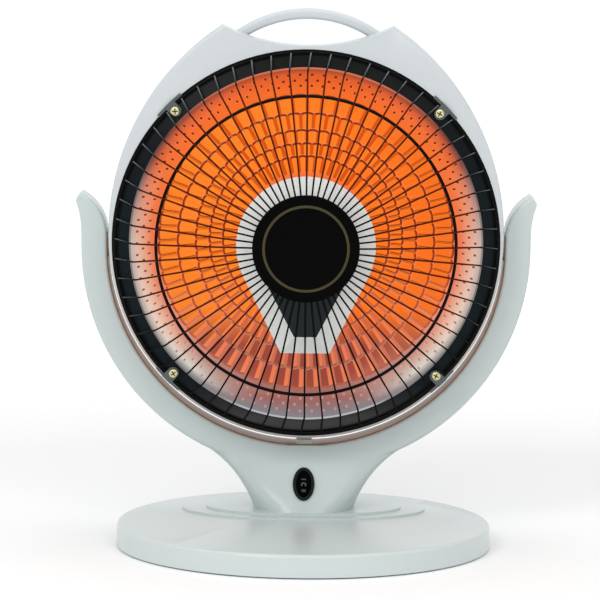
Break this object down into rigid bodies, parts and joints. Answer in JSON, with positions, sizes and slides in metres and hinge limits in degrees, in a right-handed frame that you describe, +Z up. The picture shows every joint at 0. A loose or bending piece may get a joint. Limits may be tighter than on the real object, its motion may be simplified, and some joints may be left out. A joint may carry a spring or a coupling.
{
  "type": "parabolic heater",
  "caption": "Parabolic dish heater: brick-faceted reflector behind a wire guard tilts in a white yoke on a round weighted base, with a rocker switch, carry handle and tip-over switch.",
  "frame": {"origin": "centre of the bounding box's bottom face, which is the base's middle on the floor", "axes": "+Z up, -Y towards the side that the dish faces, +X to the right as seen from the front"},
  "size_m": [0.3602, 0.29, 0.4153],
  "materials": {
    "white_plastic": "smooth semi-gloss white ABS",
    "black_plastic": "semi-gloss black",
    "black_enamel": "gloss black enamel on steel wire and sheet",
    "feet_rubber": "matt",
    "pad_rubber": "matt light grey",
    "plated_steel": "zinc plated",
    "cast_weight": "rough casting",
    "bush_plastic": "natural nylon",
    "red_plastic": "matt",
    "pressed_metal": "bright pressed sheet",
    "polished_metal": "polished sheet",
    "quartz": "clear quartz, glowing from inside",
    "glowing_filament": "carbon filament at working heat",
    "ceramic": "glazed ceramic",
    "cutout_plastic": "phenolic plastic"
  },
  "bodies": {
    "base": {"base_cover": "white_plastic", "base_plate": "plated_steel", "base_weight": "cast_weight", "base_feet": "feet_rubber", "base_screws": "plated_steel", "cord_gland": "black_plastic", "tip_switch_body": "bush_plastic", "yoke_front": "white_plastic", "yoke_rear": "white_plastic", "yoke_screws": "plated_steel", "neck_screws": "plated_steel", "switch_housing": "black_plastic", "pivot_bush_left": "bush_plastic", "pivot_bush_right": "bush_plastic", "stop_pad": "pad_rubber"},
    "head": {"front_frame": "white_plastic", "rear_cover": "white_plastic", "carry_handle": "white_plastic", "handle_screws": "plated_steel", "trim_band": "black_plastic", "reflector": "pressed_metal", "guard_spokes": "black_enamel", "guard_outer_ring": "black_enamel", "guard_middle_ring": "black_enamel", "guard_cap": "black_enamel", "guard_hub_plate": "black_enamel", "cap_screw": "plated_steel", "guard_clips": "plated_steel", "guard_screws": "plated_steel", "element_shield": "polished_metal", "shield_posts": "plated_steel", "element_tube": "quartz", "element_filament": "glowing_filament", "element_end_caps": "ceramic", "element_brackets": "plated_steel", "pivot_pin_left": "plated_steel", "pivot_pin_right": "plated_steel", "pivot_washers": "plated_steel", "pivot_nuts": "plated_steel", "terminal_block": "ceramic", "thermal_cutout": "cutout_plastic"},
    "rocker": {"switch_rocker": "black_plastic"},
    "plunger": {"tip_plunger": "red_plastic"}
  },
  "joints": [
    {"name": "head_tilt", "type": "hinge", "parent": "base", "child": "head", "pos_m": [0, 0.056, 0.228], "axis": [-1, 0, 0], "range_deg": [-15, 30]},
    {"name": "switch_rock", "type": "hinge", "parent": "base", "child": "rocker", "pos_m": [0, 0.03302, 0.04132], "axis": [1, 0, 0], "range_deg": [-10, 10]},
    {"name": "plunger_slide", "type": "slide", "parent": "base", "child": "plunger", "axis": [0, 0, -1], "range_m": [0, 0.004], "stiffness_N_per_m": 100, "springref_m": 0.006}
  ]
}
